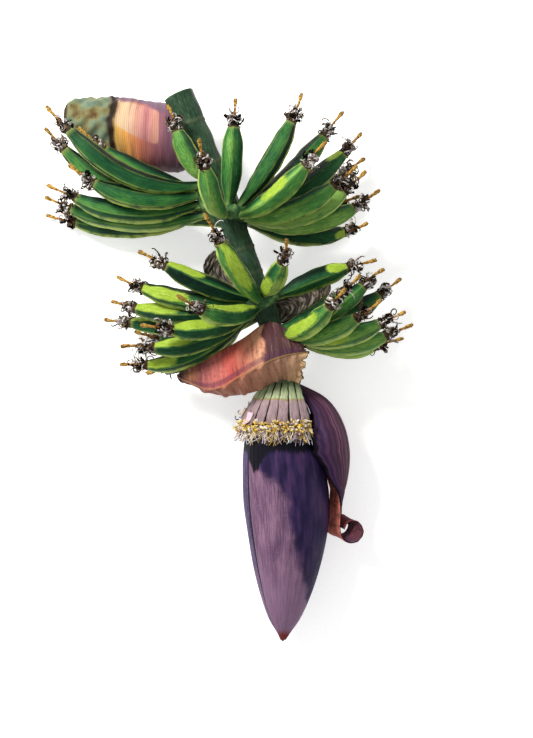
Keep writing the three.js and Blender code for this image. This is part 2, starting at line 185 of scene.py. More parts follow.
class Shape:
    """Points and faces gathered for one mesh, with the values that its materials read."""

    def __init__(self):
        self.points, self.faces, self.slots, self.grain = [], [], [], []
        self.values = {name: [] for name in VALUES}
        self.count = 0

    def add(self, points, faces, slot, grain, values):
        points = points.reshape(-1, 3)
        self.points.append(points)
        self.faces.extend(tuple(self.count + i for i in face) for face in faces)
        self.slots.extend([slot] * len(faces))
        self.grain.append(np.broadcast_to(grain, points.shape))
        for name in VALUES:
            self.values[name].append(np.broadcast_to(values.get(name, 0.0), len(points)))
        self.count += len(points)

    def add_tube(self, rings, slot=0, grain_length=1.0, grain_start=0.0, **values):
        """A tube through rings of points, closed at both ends."""
        steps, sides = rings.shape[:2]
        i, j = np.meshgrid(np.arange(steps - 1), np.arange(sides), indexing="ij")
        right = (j + 1) % sides
        quads = np.stack([i * sides + j, i * sides + right, (i + 1) * sides + right, (i + 1) * sides + j])
        faces = quads.reshape(4, -1).T.tolist()
        start, end = steps * sides, steps * sides + 1
        last = (steps - 1) * sides
        for k in range(sides):
            faces.append((start, (k + 1) % sides, k))
            faces.append((end, last + k, last + (k + 1) % sides))
        points = np.vstack([rings.reshape(-1, 3), rings[0].mean(0), rings[-1].mean(0)])
        turn = circle(sides)
        along = np.linspace(0, grain_length, steps)
        grain = np.stack(
            np.broadcast_arrays(np.cos(turn)[None], np.sin(turn)[None], along[:, None] + grain_start), -1
        ).reshape(-1, 3)
        grain = np.vstack([grain, grain[0], grain[-1]])
        full = {}
        for name, value in values.items():
            value = np.broadcast_to(value, (steps, sides))
            full[name] = np.concatenate([value.ravel(), [value[0].mean(), value[-1].mean()]])
        self.add(points, faces, slot, grain, full)

    def add_sheet(self, upper, lower, slots=(0, 0, 0), grain=None, **values):
        """A closed sheet between an upper and a lower grid of points. slots are for the upper face,
        the lower face and the rim."""
        rows, columns = upper.shape[:2]
        i, j = np.meshgrid(np.arange(rows - 1), np.arange(columns - 1), indexing="ij")
        quads = np.stack(
            [i * columns + j, (i + 1) * columns + j, (i + 1) * columns + j + 1, i * columns + j + 1]
        )
        top = quads.reshape(4, -1).T
        under = top[:, ::-1] + rows * columns
        border = (
            [(0, k) for k in range(columns)]
            + [(k, columns - 1) for k in range(1, rows)]
            + [(rows - 1, k) for k in range(columns - 2, -1, -1)]
            + [(k, 0) for k in range(rows - 2, 0, -1)]
        )
        loop = [r * columns + c for r, c in border]
        rim = [
            (a, b, b + rows * columns, a + rows * columns) for a, b in zip(loop, loop[1:] + loop[:1])
        ]
        if grain is None:
            u, v = grid(rows, columns)
            grain = np.stack([v, u, 0 * u], -1)
        grain = np.vstack([grain.reshape(-1, 3), grain.reshape(-1, 3) + [0, 0, 5]])
        full = {
            name: np.tile(np.broadcast_to(value, (rows, columns)).ravel(), 2)
            for name, value in values.items()
        }
        points = np.vstack([upper.reshape(-1, 3), lower.reshape(-1, 3)])
        base = len(self.faces)
        self.add(points, top.tolist() + under.tolist() + rim, slots[0], grain, full)
        self.slots[base + len(top) : base + 2 * len(top)] = [slots[1]] * len(top)
        self.slots[base + 2 * len(top) :] = [slots[2]] * len(rim)

    def build(self, name, materials, node):
        """Makes the Blender object, which rides on the root and stands for a CAD node."""
        points = np.vstack(self.points) + CENTRE_SHIFT
        points[:, 2] = np.maximum(points[:, 2], 0)
        mesh = bpy.data.meshes.new(name)
        mesh.from_pydata((points * MM).tolist(), [], self.faces)
        for key in VALUES:
            layer = mesh.attributes.new(key, "FLOAT", "POINT")
            layer.data.foreach_set("value", np.concatenate(self.values[key]).astype(np.float32))
        layer = mesh.attributes.new("grain", "FLOAT_VECTOR", "POINT")
        layer.data.foreach_set("vector", np.vstack(self.grain).astype(np.float32).ravel())
        for material in materials:
            mesh.materials.append(material)
        mesh.polygons.foreach_set("material_index", self.slots)
        mesh.polygons.foreach_set("use_smooth", [True] * len(self.faces))
        clean = bmesh.new()
        clean.from_mesh(mesh)
        bmesh.ops.recalc_face_normals(clean, faces=clean.faces)
        clean.to_mesh(mesh)
        clean.free()
        piece = bpy.data.objects.new(name, mesh)
        bpy.context.scene.collection.objects.link(piece)
        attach(piece, "root")
        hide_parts(node)
        return piece


def sheet_faces(middle, thickness, relief=0.0):
    """The upper and lower grids of a sheet whose middle layer is a grid of points."""
    along_u = np.gradient(middle, axis=0)
    along_v = np.gradient(middle, axis=1)
    normal = unit(np.cross(along_u, along_v))
    half = (thickness / 2 * np.ones(middle.shape[:2]))[..., None]
    lift = (relief * np.ones(middle.shape[:2]))[..., None]
    return middle + normal * (lift + half), middle + normal * (lift - half)


def grid(rows, columns):
    """u from 0 to 1 down the rows and v from -1 to 1 across the columns."""
    return np.meshgrid(np.linspace(0, 1, rows), np.linspace(-1, 1, columns), indexing="ij")


BRACT_THICKNESS = 2.0
RIM_THINNING = 0.6


def bract_thickness(edge):
    return BRACT_THICKNESS * (1 - RIM_THINNING * edge)


# Materials

def shade(code):
    """A linear colour from an sRGB hex code."""
    channels = [(code >> shift & 255) / 255 for shift in (16, 8, 0)]
    return tuple(c / 12.92 if c <= 0.04045 else ((c + 0.055) / 1.055) ** 2.4 for c in channels) + (1,)


class Value:
    """A number in a material's nodes that can be reckoned with like a plain number."""

    def __init__(self, paint, socket):
        self.paint = paint
        self.socket = socket

    def __add__(self, other):
        return self.paint.calc("ADD", self, other)

    def __sub__(self, other):
        return self.paint.calc("SUBTRACT", self, other)

    def __mul__(self, other):
        return self.paint.calc("MULTIPLY", self, other)

    def __abs__(self):
        return self.paint.calc("ABSOLUTE", self)

    def swing(self, size):
        """Noise made to swing both ways from 0."""
        return (self - 0.5) * size

    def span(self, low, high):
        """The value spread so that low becomes 0 and high 1."""
        inputs = {"Value": self, "From Min": low, "From Max": high}
        node = self.paint.node("MapRange", inputs, interpolation_type="SMOOTHSTEP")
        return Value(self.paint, node.outputs["Result"])


class Paint:
    """A material, and short calls for the nodes that colour it."""

    def __init__(self, name, roughness, **sockets):
        self.material = bpy.data.materials.new(name)
        self.material.use_nodes = True
        self.tree = self.material.node_tree
        self.shader = self.tree.nodes["Principled BSDF"]
        self.shader.inputs["Roughness"].default_value = roughness
        for socket, value in sockets.items():
            self.shader.inputs[socket.replace("_", " ")].default_value = value
        self.colour = None

    def put(self, socket, value):
        if isinstance(value, Value):
            value = value.socket
        if isinstance(value, bpy.types.NodeSocket):
            self.tree.links.new(value, socket)
        else:
            socket.default_value = value

    def node(self, kind, inputs, **settings):
        """Adds a node and gives its inputs numbers or other nodes' outputs."""
        node = self.tree.nodes.new(f"ShaderNode{kind}")
        for name, setting in settings.items():
            setattr(node, name, setting)
        for key, value in inputs.items():
            self.put(node.inputs[key], value)
        return node

    def calc(self, operation, a, b=0.0):
        return Value(self, self.node("Math", {0: a, 1: b}, operation=operation).outputs[0])

    def attribute(self, name, output):
        return self.node("Attribute", {}, attribute_name=name).outputs[output]

    def value(self, name):
        return Value(self, self.attribute(name, "Fac"))

    def grain(self, stretch):
        """The mesh's own lengthwise coordinates, stretched."""
        inputs = {0: self.attribute("grain", "Vector"), 1: stretch}
        return self.node("VectorMath", inputs, operation="MULTIPLY").outputs[0]

    def noise(self, scale, detail, roughness=0.55, stretch=None, distortion=0.0):
        """Noise in space, or along the mesh's own coordinates if they are to be stretched."""
        place = self.grain(stretch) if stretch else self.node("TexCoord", {}).outputs["Object"]
        inputs = {
            "Vector": place, "Scale": scale, "Detail": detail, "Roughness": roughness,
            "Distortion": distortion,
        }
        return Value(self, self.node("TexNoise", inputs).outputs["Fac"])

    def bands(self, scale, distortion, stretch):
        """Fine ribs across the second coordinate."""
        inputs = {"Vector": self.grain(stretch), "Scale": scale, "Distortion": distortion, "Detail": 3}
        return Value(self, self.node("TexWave", inputs, bands_direction="Y").outputs["Fac"])

    def ramp(self, value, *stops):
        """Colours along a value: each stop is a place and an sRGB hex code."""
        node = self.node("ValToRGB", {"Fac": value})
        elements = node.color_ramp.elements
        while len(elements) < len(stops):
            elements.new(0.5)
        for element, (place, code) in zip(elements, stops):
            element.position = place
            element.color = shade(code)
        return node.outputs["Color"]

    def base(self, value, *stops):
        """The colours that everything else is laid on."""
        self.colour = self.ramp(value, *stops)

    def coat(self, share, colour):
        """Lays a ramp's colours or an sRGB hex code over what is there, by a share from 0 to 1."""
        colour = shade(colour) if isinstance(colour, int) else colour
        node = self.node("Mix", {"Factor": share, 6: self.colour, 7: colour}, data_type="RGBA")
        self.colour = node.outputs[2]

    def finish(self, height, depth):
        """The material, with bumps as high as depth in metres where height is 1."""
        self.put(self.shader.inputs["Base Color"], self.colour)
        bump = self.node("Bump", {"Distance": depth, "Height": height})
        self.put(self.shader.inputs["Normal"], bump.outputs["Normal"])
        return self.material


def finger_skin():
    """tone goes from dark to light facets, partly as painted shade and light, edge marks the lighter ridges and
    painted highlights along the sides, and sun a patch of painted sunlight.
    """
    paint = Paint("finger_skin", 0.5, Specular_IOR_Level=0.1)
    along, edge, tone, sun = map(paint.value, VALUES)
    streaks = paint.noise(12, 6, 0.65, (1, 1, 0.3))
    clouds = paint.noise(30, 3)
    patches = paint.noise(75, 5, 0.6)
    level = tone + (streaks * 0.8 + clouds * 0.6 - 0.7)
    paint.base(level, (0.0, 0x041910), (0.2, 0x0f3520), (0.42, 0x1f532b), (0.66, 0x467b36), (0.9, 0x86ae54))
    paint.coat(along.span(0.17, 0.02) * level.span(0.2, 0.7) * 0.6, 0x9bb274)
    paint.coat(along.span(0.95, 1.0), 0x6e7c42)
    # Lighter ridges, and painted highlights along the sides and the lower edge.
    paint.coat(edge.span(0.05, 0.95) * patches.span(0.28, 0.58) * 0.85, 0xb2c85c)
    # A patch of painted sunlight.
    lit_edge = (sun + (patches * 1.5 + streaks * 0.5 - 1.0)).span(0.1, 0.6)
    lit = paint.ramp(streaks, (0.34, 0x7c9a2c), (0.5, 0x98b434), (0.66, 0xb2c85e))
    paint.coat(lit_edge * sun.span(0.01, 0.1) * 0.95, lit)
    paint.coat(paint.noise(800, 2).span(0.6, 0.7) * 0.35, 0x12291a)
    return paint.finish(streaks, 0.0005)


def crown_skin():
    paint = Paint("crown_skin", 0.5, Specular_IOR_Level=0.25)
    clouds = paint.noise(90, 4)
    paint.base(clouds, (0.36, 0x15361d), (0.5, 0x2c552b), (0.6, 0x5c7f46), (0.72, 0x94ab72))
    return paint.finish(clouds, 0.001)


def stalk_skin():
    paint = Paint("stalk_skin", 0.5, Specular_IOR_Level=0.25)
    streaks = paint.noise(12, 6, 0.65, (1, 1, 0.4))
    paint.base(streaks, (0.32, 0x0b2015), (0.47, 0x16331f), (0.6, 0x284b2b), (0.75, 0x557145))
    paint.coat(paint.noise(40, 4).span(0.5, 0.7) * 0.4, 0x3d5a3e)
    paint.coat(paint.value("edge") * 0.5, 0x565837)
    paint.coat(paint.noise(420, 2).span(0.62, 0.7) * 0.5, 0x0d1c13)
    return paint.finish(streaks, 0.0008)


def speckled_skin(name, roughness, read, stops, specks, depth, **sockets):
    """A skin coloured along one of the mesh's values. specks are their noise's scale and detail, where
    they begin and are full, their strength and their colour."""
    paint = Paint(name, roughness, **sockets)
    scale, detail, begin, full, strength, colour = specks
    clouds = paint.noise(scale, detail)
    paint.base(paint.value(read), *stops)
    paint.coat(clouds.span(begin, full) * strength, colour)
    return paint.finish(clouds, depth)


def bud_skin(name, dark, mid, light):
    """A purple skin with a grey bloom and fine lengthwise streaks, painted lighter towards the tip. tone darkens it
    to indigo as painted shade, sun to the painted near-black shadow under the flowers, and edge to the bract's dark
    margin."""
    paint = Paint(name, 0.55, Specular_IOR_Level=0.1)
    along, edge, tone, sun = map(paint.value, VALUES)
    streaks = paint.noise(55, 4, 0.6, (1, 1, 0.05))
    broad = paint.noise(5, 3, 0.5, (1, 1, 0.25))
    paint.base(streaks * 0.65 + broad * 0.35, (0.38, dark), (0.5, mid), (0.62, light))
    paint.coat(paint.noise(600, 2).span(0.56, 0.66) * 0.16, 0x9c8396)
    # Painted light: lighter towards the tip.
    paint.coat(along.span(0.6, 0.85) * 0.4, 0x957591)
    # Indigo painted shade.
    painted_shade_colours = paint.ramp(broad, (0.36, 0x130d30), (0.5, 0x231a41), (0.64, 0x3c274c))
    paint.coat((tone + paint.noise(45, 4).swing(1.3)).span(0.15, 0.85) * 0.95, painted_shade_colours)
    # The painted near-black shadow under the flowers.
    paint.coat((sun + streaks.swing(1.6)).span(0.4, 0.6) * sun.span(0.0, 0.25), 0x0a0813)
    paint.coat(along.span(0.945, 0.975), 0x6e2a2c)
    paint.coat(edge.span(0.05, 0.6), 0x0f0918)
    return paint.finish(streaks, 0.0004)


def raised_outer():
    paint = Paint("raised_outer", 0.55, Specular_IOR_Level=0.1)
    along, edge, tone = map(paint.value, VALUES[:3])
    ribs = paint.noise(1.6, 3, 0.5, (6, 0.02, 1))
    fine = paint.noise(2, 4, 0.6, (34, 1.0, 1))
    paint.base(ribs, (0.38, 0x331a2d), (0.46, 0x4a2b3e), (0.54, 0x643f55), (0.64, 0x8c677e))
    paint.coat(fine.span(0.4, 0.7) * 0.4, 0x6f4d62)
    # Indigo painted shade where tone is high, low on the left near the flowers.
    paint.coat(tone * 0.8, 0x241c46)
    paint.coat(along.span(0.62, 0.72) * 0.8, 0x6d3d44)
    paint.coat(fine.span(0.45, 0.6) * 0.6, 0x3a1c24)
    freckles = paint.noise(420, 4, 0.6) * along.span(0.6, 0.7)
    paint.coat(freckles.span(0.48, 0.6) * 0.6, 0x2a1218)
    # The dark margin, with a painted shadow line down the left edge next to the bud.
    paint.coat(edge.span(0.3, 0.95), 0x120b18)
    return paint.finish(fine, 0.0006)


def raised_inner():
    paint = Paint("raised_inner", 0.5, Specular_IOR_Level=0.12)
    fine = paint.noise(2, 4, 0.6, (26, 1.2, 1))
    paint.base(fine, (0.35, 0x9a4a42), (0.5, 0xcb6e60), (0.66, 0xe69a86))
    paint.coat(paint.value("along").span(0.6, 0.82), 0x6c2f33)
    paint.coat(paint.noise(110, 3).span(0.48, 0.62) * 0.5, 0x3a181c)
    return paint.finish(fine, 0.0005)


def red_face():
    """The reflexed bract: along is 0 at its right margin, tone is 0 at the foot, 0.5 on the keel and 1
    at the crest. Below the keel it is painted brown in shade, above it orange-red in painted sunlight
    with painted shade towards the right margin, and the keel carries a painted highlight."""
    paint = Paint("red_face", 0.55, Specular_IOR_Level=0.12)
    along, edge, tone = map(paint.value, VALUES[:3])
    grainy = paint.noise(1.0, 5, 0.65, (1.6, 46, 1))
    drift = along + tone * 0.05 + paint.noise(60, 3).swing(0.12)
    # Below the keel: the face painted brown in shade.
    paint.base(drift, (0.05, 0xc8a478), (0.2, 0xac8266), (0.55, 0xa26c56), (0.85, 0x905646), (1.0, 0x3a2028))
    # Above the keel: orange-red in painted sunlight, in purple-brown painted shade towards the right margin.
    upper = paint.ramp(
        drift, (0.0, 0x583b3c), (0.31, 0x4a3034), (0.365, 0x583235), (0.39, 0xdea080), (0.5, 0xcc7e66),
        (0.62, 0xb85048), (0.75, 0xbe6a62), (0.86, 0x86484a), (0.93, 0x9a6648), (1.0, 0x3a2028),
    )
    paint.coat(tone.span(0.46, 0.5), upper)
    paint.coat(grainy.span(0.5, 0.66) * 0.4, 0x4c2328)
    paint.coat(grainy.span(0.46, 0.34) * 0.18, 0xe8b29c)
    paint.coat(paint.noise(260, 4, 0.6).span(0.52, 0.66) * 0.3, 0x5b2a2c)
    paint.coat(abs(tone - 0.56).span(0.06, 0.02) * 0.55, 0x4a2b42)
    # A painted highlight along the keel.
    paint.coat(abs(tone - 0.5).span(0.012, 0.004) * 0.7, 0xa4804c)
    paint.coat(edge.span(0.35, 0.95), 0x5a4426)
    return paint.finish(grainy, 0.0012)


def pink_face():
    """The oldest bract: along is 0 at the stalk and 1 at its tip, tone is 0 at the upper rim, and sun
    is 1 on the pale inner patch, a patch of painted sunlight."""
    paint = Paint("pink_face", 0.55, Specular_IOR_Level=0.12)
    along, edge, tone, sun = map(paint.value, VALUES)
    grainy = paint.noise(1.0, 4, 0.6, (1.2, 34, 1))
    clouds = paint.noise(45, 3)
    wave = clouds.swing(0.06)
    along = along + wave
    paint.base(
        along, (0.2, 0x5a424f), (0.3, 0x70505f), (0.4, 0x985f66), (0.5, 0xc47656), (0.6, 0xd69a4e),
        (0.67, 0xbc964a), (0.71, 0x5e5832),
    )
    pale = paint.ramp(
        along, (0.35, 0xc8957e), (0.4, 0xc28a79), (0.46, 0xab6d70), (0.52, 0xc08e7b), (0.59, 0xccae8c),
        (0.66, 0xc6a880), (0.69, 0x6a4a32),
    )
    # The pale patch is painted sunlight.
    paint.coat(sun.span(0.2, 0.6), pale)
    paint.coat((tone + wave).span(0.27, 0.19), 0x6a5264)
    paint.coat(paint.bands(21, 3.0, (0.05, 1, 0)).span(0.5, 0.95) * 0.3, 0x7a4650)
    paint.coat(grainy.span(0.5, 0.66) * 0.3, 0x542f3a)
    paint.coat(abs(along - 0.705).span(0.036, 0.01), 0x21170e)
    spots = paint.ramp(clouds, (0.36, 0x4c5c50), (0.5, 0x6a7a62), (0.58, 0x75714a), (0.68, 0x5c4424))
    paint.coat(along.span(0.72, 0.75), spots)
    paint.coat(edge.span(0.3, 0.9), 0x2c2416)
    return paint.finish(grainy, 0.0009)


def dried_skin():
    paint = Paint("dried_skin", 0.9)
    rings = paint.noise(1.5, 4, 0.6, (1.2, 16, 1), 0.8)
    paint.base(rings, (0.38, 0x100d0b), (0.48, 0x342d26), (0.56, 0x776c5e), (0.66, 0xa89e90))
    paint.coat(paint.noise(140, 4).span(0.5, 0.7) * 0.4, 0x35271b)
    paint.coat(paint.value("edge").span(0.5, 1.0), 0x0c0a09)
    return paint.finish(rings, 0.0012)


def flower_skin():
    """Male flowers: green at the root, then mauve-grey, with painted shade down their sides."""
    paint = Paint("flower_skin", 0.65, Specular_IOR_Level=0.12)
    streaks = paint.noise(8, 5, 0.65, (1, 1, 0.25))
    paint.base(
        paint.value("along") + paint.noise(160, 4).swing(0.12), (0.0, 0x4a623e), (0.2, 0x8fa274),
        (0.42, 0xabb98e), (0.455, 0x9a8a50), (0.485, 0xa18a8c), (0.75, 0x957e83), (0.95, 0x86706f),
        (1.0, 0xb59c8c),
    )
    paint.coat(streaks.span(0.5, 0.64) * 0.65, 0x4e3f46)
    paint.coat(streaks.span(0.46, 0.34) * 0.45, 0xcbbdb8)
    # Painted shade down the sides, between neighbouring flowers.
    paint.coat(paint.value("edge").span(0.1, 0.7), 0x161118)
    return paint.finish(streaks, 0.0006)


def paper_floor():
    """White paper, lit a little from below so that shadows on it stay soft."""
    paint = Paint("paper_floor", 0.9, Specular_IOR_Level=0.1, Emission_Strength=0.5)
    fibre = paint.noise(300, 3)
    paint.base(fibre, (0.3, 0xf6f5f2), (0.7, 0xfcfbf9))
    return paint.finish(fibre, 0.0002)


FINGER_SKIN = finger_skin()
CROWN_SKIN = crown_skin()
STALK_SKIN = stalk_skin()
CUT_FLESH = speckled_skin(
    "cut_flesh", 0.7, "along", [(0.0, 0xe9e4bf), (0.6, 0xd9d9a2), (0.85, 0xa9bd76), (1.0, 0x5d7f45)],
    (700, 3, 0.58, 0.66, 0.6, 0x8a6f47), 0.0006,
)
STYLE_SKIN = speckled_skin(
    "style_skin", 0.6, "along",
    [(0.0, 0x33231a), (0.3, 0x7a4f24), (0.6, 0xab7a30), (0.85, 0xc69a4a), (1.0, 0x8f7036)],
    (420, 3, 0.47, 0.6, 0.8, 0x38230f), 0.0008, Specular_IOR_Level=0.1,
)
WITHERED_SKIN = speckled_skin(
    "withered_skin", 0.9, "tone",
    [(0.0, 0x0c0a0a), (0.3, 0x3a3028), (0.5, 0x70593f), (0.75, 0xa69c98), (1.0, 0xe4ded8)],
    (600, 4, 0.5, 0.6, 0.7, 0x130f0e), 0.0008, Specular_IOR_Level=0.05,
)
BUD_FRONT = bud_skin("bud_front", 0x523950, 0x6c4f69, 0x8a6a7e)
BUD_BACK = bud_skin("bud_back", 0x2a1f42, 0x3f3258, 0x5b4a70)
RAISED_OUTER = raised_outer()
RAISED_INNER = raised_inner()
RED_FACE = red_face()
PINK_FACE = pink_face()
DRIED_SKIN = dried_skin()
FLOWER_SKIN = flower_skin()
ANTHER_SKIN = speckled_skin(
    "anther_skin", 0.75, "tone",
    [(0.0, 0x3f2f55), (0.2, 0xb08030), (0.45, 0xf0c848), (0.6, 0xfbe8a4), (0.8, 0xd2b6c0), (1.0, 0xffffff)],
    (900, 3, 0.56, 0.66, 0.3, 0x8a6628), 0.0005, Specular_IOR_Level=0.1,
)


# Stalk

STALK_RADIUS_TOP = 15.5
STALK_RADIUS_LOW = 11.5
NODE_SWELLING = 1.6
HAND_PLACES = (0.39, 0.69)
SCAR_PLACES = (0.1, 0.24, 0.52, 0.6, 0.87)
SCAR_HEIGHT = 0.7
STALK_SIDES = 56
STALK_STEPS = 200
CUT_REACHES = (1.0, 0.97, 0.9, 0.75, 0.5, 0.25, 0.05)  # rings of the cut face, from its rim inwards
CUT_HEIGHTS = (0.0, 0.5, 0.35, 0.1, -0.1, -0.3, -0.4)
STALK_AXIS = smooth_curve([
    (-55, 264, 61), (-43, 238, 63), (-19, 183, 68), (3, 126, 71),
    (19, 83, 71), (35, 40, 68), (47, 3, 60), (53, -38, 49),
])


def stalk_radius(share):
    swelling = sum(np.exp(-(((share - place) / 0.05) ** 2)) for place in HAND_PLACES)
    return mix(STALK_RADIUS_TOP, STALK_RADIUS_LOW, np.minimum(1, share / 0.6)) + NODE_SWELLING * swelling


def on_stalk(turn, share, reach):
    """A point just outside the stalk's skin."""
    return STALK_AXIS.at(share) + outward(turn) * (stalk_radius(share) + reach)


def make_stalk():
    share = np.linspace(0, 1, STALK_STEPS)
    turn = circle(STALK_SIDES)
    radius = (stalk_radius(share) - 0.5)[:, None] * np.ones((1, STALK_SIDES))
    scars = sum(np.exp(-(((share - place) / 0.004) ** 2)) for place in SCAR_PLACES)
    rings = rings_round(STALK_AXIS, share, turn, radius)
    radius += 0.35 * np.sin(11 * turn + 2 * np.sin(9 * share)[:, None])
    radius += 0.45 * ripple(rings, 26, 3) + SCAR_HEIGHT * scars[:, None] * (1 + 0.4 * np.sin(3 * turn))
    rings = rings_round(STALK_AXIS, share, turn, radius)
    shape = Shape()
    shape.add_tube(rings, grain_length=9, along=share[:, None], edge=np.minimum(1, scars)[:, None])
    shape.build("stalk_body", [STALK_SKIN], "stalk")

    ahead = -STALK_AXIS.tangent(np.array([0.0]))[0]
    hub = STALK_AXIS.at(0.0)
    across = unit(np.cross(ahead, UP))
    up = np.cross(across, ahead)
    spread = np.cos(turn)[:, None] * across + np.sin(turn)[:, None] * up
    reach = np.array(CUT_REACHES)
    rings = [
        hub + spread * share_out * (STALK_RADIUS_TOP - 0.9) + ahead * height
        for share_out, height in zip(reach, CUT_HEIGHTS)
    ]
    shape = Shape()
    shape.add_tube(np.array(rings), along=reach[:, None])
    shape.build("stalk_cut_face", [CUT_FLESH], "stalk")


# Hands

FINGER_RADIUS = 11
FINGER_RIDGES = 5
FINGER_SIDES = 35
FINGER_STEPS = 46
FINGER_ARCH = 8
CROWN_RADIUS = 8.5
CROWN_REACH = 4
CROWN_ROWS = 0.012
CROWN_SIDES = 28
CROWN_STEPS = 90
BLUNT_SHARES = (0.97, 0.98, 0.988, 0.995, 1.0)  # where a finger's end closes, and how wide it is there
BLUNT_WIDTHS = (1, 0.985, 0.95, 0.87, 0.74)
STYLE_LENGTH = 34
TEPALS = 19
TEPAL_ROWS = 11
TEPAL_COLUMNS = 5
TEPAL_THICKNESS = 0.45
THREADS = 19
THREAD_STEPS = 12
THREAD_SIDES = 4
THREAD_TAPER = 0.6
COLLAR_PROFILE = profile([5.2, 5.6, 4.6, 3.4, 2.2])
STYLE_PROFILE = profile([2.0, 1.6, 1.4, 1.25, 1.15, 1.2, 1.3, 1.5, 2.2, 1.6])
STYLE_CLEARANCE = 3.5  # keeps a low style off the floor
WITHERED_TONES = (0.0, 0.1, 0.3, 0.45, 0.55, 0.75, 0.9, 1.0)

# Each finger has its turn about the stalk, its tip, how far its middle sags (bow) and stands up (rise).
# They are as in the solids, but the third upper left and the last lower left finger sag less here. tone
# is how light a finger is painted, and sun the stretch of its length that carries a patch of painted sunlight.
HANDS = {
    "upper_left": {
        "seed": 11, "crown": ((-28, -138), (0.29, 0.42)),
        "fingers": [
            dict(turn=-28, tip=(-55, 225, 92), bow=6, tone=0.42),
            dict(turn=-52, tip=(-162, 226, 90), bow=22, rise=5, tone=0.18),
            dict(turn=-64, tip=(-130, 208, 66), bow=5, rise=-3, tone=0.55),
            dict(turn=-76, tip=(-138, 174, 84), bow=12, rise=4, tone=0.3),
            dict(turn=-88, tip=(-171, 211, 46), bow=20, rise=-6, tone=0.2),
            dict(turn=-98, tip=(-158, 161, 58), bow=14, rise=4, tone=0.35),
            dict(turn=-110, tip=(-165, 152, 30), bow=11, rise=2, tone=0.42),
            dict(turn=-122, tip=(-162, 140, 12), bow=11, rise=-4, tone=0.35),
            dict(turn=-138, tip=(-118, 172, 4), bow=4, tone=0.25),
        ],
    },
    "upper_right": {
        "seed": 23, "crown": ((-12, 122), (0.395, 0.42)),
        "fingers": [
            dict(turn=-12, tip=(-26, 184, 150), bow=12, tone=0.58),
            dict(turn=6, tip=(1, 228, 108), bow=4, tone=0.42),
            dict(turn=20, tip=(72, 187, 138), bow=9, sun=(0.42, 0.85), tone=0.5),
            dict(turn=30, tip=(58, 234, 92), bow=5, tone=0.2),
            dict(turn=42, tip=(100, 169, 112), bow=10, tone=0.64),
            dict(turn=52, tip=(91, 222, 66), bow=7, tone=0.2),
            dict(turn=62, tip=(111, 166, 84), bow=12, tone=0.7),
            dict(turn=74, tip=(111, 207, 42), bow=9, sun=(0.8, 1.1), tone=0.28),
            dict(turn=84, tip=(122, 151, 60), bow=11, tone=0.64),
            dict(turn=94, tip=(112, 186, 22), bow=10, sun=(0.55, 0.85), tone=0.24),
            dict(turn=106, tip=(112, 128, 34), bow=9, sun=(0.85, 1.1), tone=0.22),
            dict(turn=122, tip=(104, 156, 4), bow=6, tone=0.22),
        ],
    },
    "lower_left": {
        "seed": 37, "crown": ((-116, 62), (0.735, 0.665)),
        "fingers": [
            dict(turn=-4, tip=(-12, 113, 138), bow=4, sun=(0.3, 1.1), tone=0.78),
            dict(turn=-26, tip=(-66, 91, 92), bow=4, sun=(0.55, 1.1), tone=0.18),
            dict(turn=-14, tip=(-30, 46, 142), bow=8, sun=(0.05, 1.05), tone=0.5),
            dict(turn=-44, tip=(-90, 70, 70), bow=6, sun=(0.5, 1.1), tone=0.2),
            dict(turn=-34, tip=(-60, 28, 112), bow=9, sun=(0.4, 1.1), tone=0.3),
            dict(turn=-66, tip=(-98, 50, 52), bow=7, sun=(0.55, 1.1), tone=0.18),
            dict(turn=-54, tip=(-79, 10, 84), bow=12, sun=(0.55, 1.1), tone=0.22),
            dict(turn=-86, tip=(-104, 36, 32), bow=8, rise=-3, sun=(0.7, 1.1), tone=0.18),
            dict(turn=-76, tip=(-86, -7, 60), bow=14, sun=(0.7, 1.1), tone=0.18),
            dict(turn=-98, tip=(-58, -10, 36), bow=13, rise=-4, tone=0.22),
            dict(turn=-116, tip=(-74, 22, 7), bow=8, tone=0.2),
            dict(turn=14, tip=(49, 93, 144), bow=2, sun=(0.1, 0.75), tone=0.4),
            dict(turn=62, tip=(114, 90, 68), bow=-3, sun=(0.7, 1.1), tone=0.28),
        ],
    },
    "lower_right": {
        "seed": 53, "crown": ((22, 104), (0.795, 0.785)),
        "fingers": [
            dict(turn=22, tip=(95, 50, 138), bow=6, sun=(0.15, 0.9), tone=0.55),
            dict(turn=40, tip=(106, 62, 104), bow=4, tone=0.42),
            dict(turn=34, tip=(122, 39, 114), bow=7, tone=0.48),
            dict(turn=66, tip=(130, 72, 60), bow=6, tone=0.42),
            dict(turn=48, tip=(146, 34, 88), bow=9, rise=3, sun=(0.3, 0.7), tone=0.54),
            dict(turn=78, tip=(148, 64, 34), bow=8, rise=-4, tone=0.42),
            dict(turn=62, tip=(152, 22, 60), bow=10, tone=0.54),
            dict(turn=84, tip=(142, 12, 36), bow=10, rise=-5, tone=0.52),
            dict(turn=104, tip=(116, 34, 7), bow=7, tone=0.5),
        ],
    },
}

FINGER_PROFILE = profile([0.38, 0.56, 0.9, 1, 1, 0.93, 0.56])


def crown_share(crown, turn):
    turns, shares = crown
    return mix(shares[0], shares[1], (turn - turns[0]) / (turns[1] - turns[0]))


def finger_curve(crown, row, turn, tip, bow, rise):
    root = on_stalk(turn, crown_share(crown, turn) + row * CROWN_ROWS, CROWN_REACH - 2)
    end = np.array(tip, float)
    bend = (root + end) / 2 + np.array([0, -2 * bow, 2 * rise]) + outward(turn) * FINGER_ARCH
    return bezier(root, bend, end)


